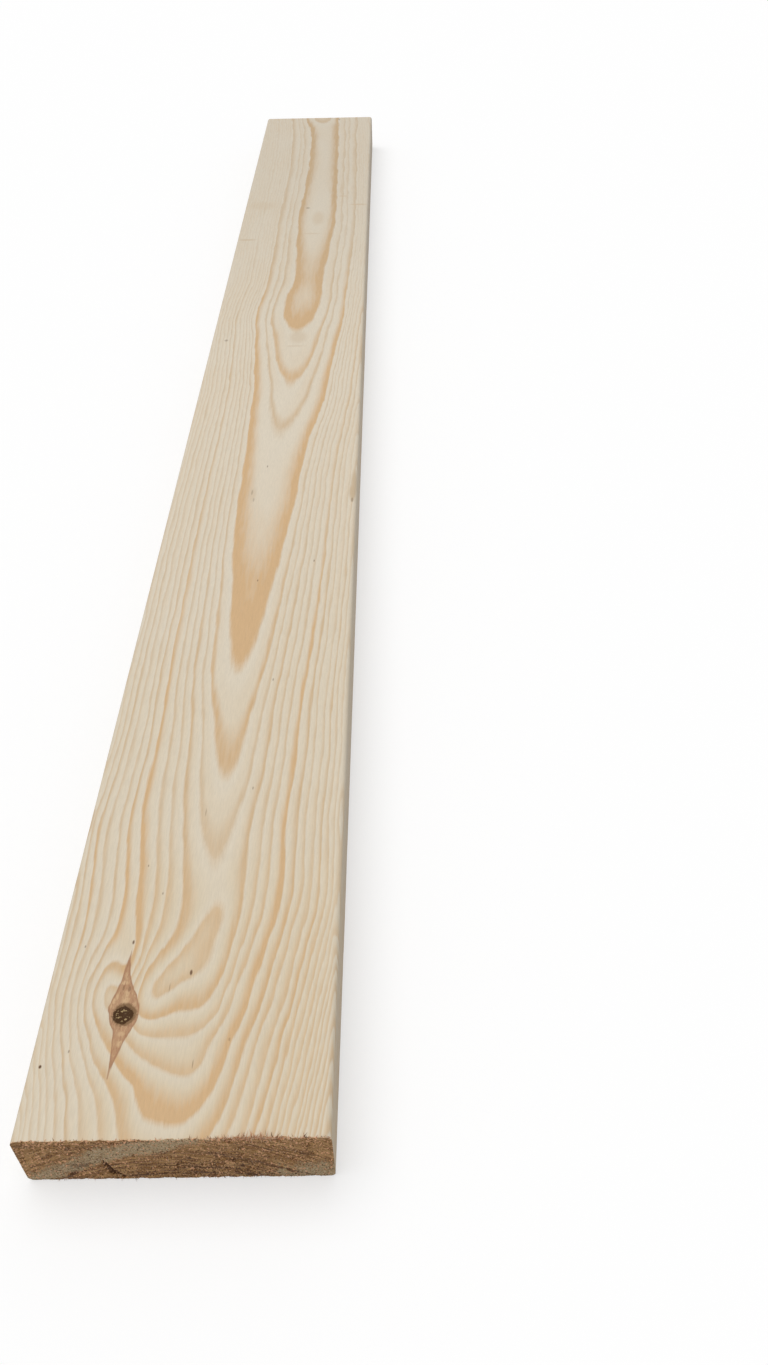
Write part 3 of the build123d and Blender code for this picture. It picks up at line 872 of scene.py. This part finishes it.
class PlankFinish(bpy.types.PropertyGroup):
    """Colours of the plank."""

    earlywood: colour_setting("Earlywood", "Pale wood", 217, 206, 187)
    earlywood_warm: colour_setting("Warm earlywood", "Pale wood where it is yellower", 216, 202, 180)
    earlywood_near: colour_setting("Golden earlywood", "Pale wood in the near part", 213, 198, 172)
    latewood: colour_setting("Latewood", "Darker part of the strong rings", 206, 172, 130)
    latewood_grey: colour_setting("Grey latewood", "Darker part of the faint rings", 196, 169, 133)
    # Painted shade: the far shade darkens and greys the wood towards the far end, as if the light fell off
    # there
    far_painted_shade: FloatVectorProperty(
        name="Far shade", description="What the colours are multiplied by at the far end", subtype="COLOR",
        default=(0.90, 0.902, 0.908))
    lens: colour_setting("Knot lens", "Brown wood round the knot", 178, 138, 104)
    lens_pale: colour_setting("Pale knot lens", "Paler middle of the brown wood", 206, 172, 132)
    lens_rim: colour_setting("Knot lens rim", "Outline of the brown wood", 156, 112, 82)
    knot: colour_setting("Knot", "Dark core of the knot", 64, 38, 8)
    knot_pale: colour_setting("Knot specks", "Pale specks in the core", 175, 150, 106)
    knot_halo: colour_setting("Knot halo", "Olive brown round the core", 120, 92, 62)
    mark: colour_setting("Marks", "Small dark marks", 86, 52, 26)
    stain: colour_setting("Stains", "Wider brownish stains", 196, 174, 144)
    end_wood: colour_setting("End wood", "Sawn end grain", 190, 150, 101)
    end_wood_warm: colour_setting("Warm end wood", "Sawn end grain where it is redder", 194, 150, 101)
    end_grey: colour_setting("Grey end wood", "Greyer patches of the sawn end", 184, 162, 126)
    end_dark: colour_setting("Dark end wood", "Darker layers of the sawn end", 142, 102, 58)
    end_line: colour_setting("End lines", "Ring lines of the sawn end", 126, 85, 46)
    # Painted shade of the torn pits and the crack, also the colour of the dark strokes
    end_strokes_and_recess_shade: colour_setting("End pits", "Torn pits of the sawn end", 74, 44, 20)
    end_pale: colour_setting("Pale end wood", "Bright specks of the sawn end", 240, 184, 142)
    end_light: colour_setting("Light end wood", "Light flecks in the greyer patches", 216, 199, 170)
    fibre_dark: colour_setting("Dark fibre", "Darkest torn fibre", 118, 84, 58)
    fibre_pink: colour_setting("Pink fibre", "Most of the torn fibres", 210, 160, 124)
    fibre_pale: colour_setting("Pale fibre", "Palest torn fibre", 226, 202, 172)
    roughness: FloatProperty(name="Roughness", description="Of the earlywood", default=0.66, min=0, max=1)


class PlankStage(bpy.types.PropertyGroup):
    """Floor, light and camera."""

    floor_size: length_setting("Floor size", "Side of the floor", 16.0)
    floor_grey: FloatProperty(name="Floor grey", description="Light that the floor sends back", default=0.5)
    sky: FloatProperty(name="Sky", description="Strength of the even light from all round", default=0.5)
    lamp: FloatProperty(name="Lamp", description="Strength of the soft light from above", default=1.6)
    lamp_spread: angle_setting("Lamp spread", "Width of the soft light", 60)
    lamp_from: FloatVectorProperty(
        name="Lamp from", description="Direction the soft light comes from", subtype="XYZ",
        default=(-0.25, 0.15, 1.0))
    eye: FloatVectorProperty(
        name="Eye", description="Place of the camera", subtype="TRANSLATION", unit="LENGTH",
        default=(0.10293, -0.91671, 0.51054))
    pitch: angle_setting("Pitch", "Camera's tilt below the horizon", 43.129)
    yaw: angle_setting("Yaw", "Camera's turn to the left", 1.314)
    roll: angle_setting("Roll", "Camera's turn about its own line of sight", 1.559)
    lens: FloatProperty(name="Lens", description="Focal length for a 36 mm long side, in mm", default=29.483)


class PLANK_OT_make_board(bpy.types.Operator):
    """Makes the board with its growth rings, knot and sawn ends"""

    bl_idname = "plank.make_board"
    bl_label = "Make board"

    def execute(self, context):
        shape, finish = context.scene.plank_shape, context.scene.plank_finish
        vertices, quads, corners, end = board_arrays(shape)
        board = make_object("plank_board", vertices, quads, planed_softwood(finish, shape))
        mesh = board.data
        fields = wood_fields(shape, *vertices.T)
        fields.update(end_fields(*vertices.T))
        for name, values in (*fields.items(), ("end", end)):
            put_attribute(mesh, name, values)
        mesh.uv_layers.new(name="OFBake").data.foreach_set("uv", corners.astype(np.float32).ravel())
        mesh.shade_smooth()
        mesh.set_sharp_from_angle(angle=math.radians(SHARP_ANGLE))
        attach(board, "root")
        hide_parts("plank")
        return {"FINISHED"}


class PLANK_OT_make_fibres(bpy.types.Operator):
    """Makes the torn fibres at the sawn near end"""

    bl_idname = "plank.make_fibres"
    bl_label = "Make torn fibres"

    def execute(self, context):
        shape, finish = context.scene.plank_shape, context.scene.plank_finish
        vertices, faces, tones = fibre_arrays(shape)
        fibres = make_object("torn_fibres", vertices, faces, torn_fibre(finish))
        put_attribute(fibres.data, "tone", tones)
        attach(fibres, "root")
        return {"FINISHED"}


class PLANK_OT_make_stage(bpy.types.Operator):
    """Makes the floor, the light and the camera"""

    bl_idname = "plank.make_stage"
    bl_label = "Make stage"

    def execute(self, context):
        scene, stage = context.scene, context.scene.plank_stage
        half = stage.floor_size / 2
        corners = np.array([(-half, -half, 0), (half, -half, 0), (half, half, 0), (-half, half, 0)])
        corners[:, 2] = PLANK_LOW.z - FLOOR_DROP
        floor = make_object("floor", corners, [np.array([(0, 1, 2, 3)])], pale_floor(stage))

        world = bpy.data.worlds.new("studio")
        scene.world = world
        wires = Wiring(world)
        seen = seen_straight(wires)
        strength = wires.scaled(seen, 1 - stage.sky, stage.sky)
        sky = wires.node("ShaderNodeBackground", {"Color": (1, 1, 1), "Strength": strength})
        wires.node("ShaderNodeOutputWorld", {"Surface": sky.outputs[0]})

        lamp = bpy.data.lights.new("soft light", "SUN")
        lamp.energy = stage.lamp
        lamp.angle = stage.lamp_spread
        lamp_object = bpy.data.objects.new("soft light", lamp)
        lamp_object.rotation_euler = Vector(stage.lamp_from).to_track_quat("Z", "Y").to_euler()
        scene.collection.objects.link(lamp_object)

        camera = bpy.data.cameras.new("camera")
        camera.lens = stage.lens
        camera.sensor_width = LONG_SIDE
        camera_object = bpy.data.objects.new("camera", camera)
        right = Vector((math.cos(stage.yaw), math.sin(stage.yaw), 0))
        ahead = Vector((-math.sin(stage.yaw), math.cos(stage.yaw), 0))
        down = -math.sin(stage.pitch) * ahead - math.cos(stage.pitch) * Vector((0, 0, 1))
        sight = math.cos(stage.pitch) * ahead - math.sin(stage.pitch) * Vector((0, 0, 1))
        turned_right = math.cos(stage.roll) * right + math.sin(stage.roll) * down
        turned_down = math.cos(stage.roll) * down - math.sin(stage.roll) * right
        axes = Matrix((turned_right, -turned_down, -sight)).transposed()
        camera_object.matrix_world = Matrix.LocRotScale(Vector(stage.eye), axes.to_quaternion(), None)
        scene.collection.objects.link(camera_object)
        scene.camera = camera_object
        scene.view_settings.view_transform = "Standard"
        return {"FINISHED"}


class PLANK_PT_panel(bpy.types.Panel):
    """Sizes, colours and buttons for the plank"""

    bl_label = "Plank"
    bl_idname = "PLANK_PT_panel"
    bl_space_type = "VIEW_3D"
    bl_region_type = "UI"
    bl_category = "Plank"

    def draw(self, context):
        for group in (context.scene.plank_shape, context.scene.plank_finish, context.scene.plank_stage):
            column = self.layout.column()
            for name in group.__annotations__:
                column.prop(group, name)
        for operator in (PLANK_OT_make_board, PLANK_OT_make_fibres, PLANK_OT_make_stage):
            self.layout.operator(operator.bl_idname)


CLASSES = (
    PlankShape, PlankFinish, PlankStage, PLANK_OT_make_board, PLANK_OT_make_fibres, PLANK_OT_make_stage,
    PLANK_PT_panel,
)


def register():
    """Registers the classes and hangs the settings on the scene."""
    for item in CLASSES:
        bpy.utils.register_class(item)
    bpy.types.Scene.plank_shape = PointerProperty(type=PlankShape)
    bpy.types.Scene.plank_finish = PointerProperty(type=PlankFinish)
    bpy.types.Scene.plank_stage = PointerProperty(type=PlankStage)


def unregister():
    """Takes the settings off the scene and unregisters the classes."""
    del bpy.types.Scene.plank_stage
    del bpy.types.Scene.plank_finish
    del bpy.types.Scene.plank_shape
    for item in reversed(CLASSES):
        bpy.utils.unregister_class(item)


def main():
    """Builds the pieces and the stage in order."""
    register()
    bpy.ops.plank.make_board()
    bpy.ops.plank.make_fibres()
    bpy.ops.plank.make_stage()


if __name__ == "__main__":
    main()
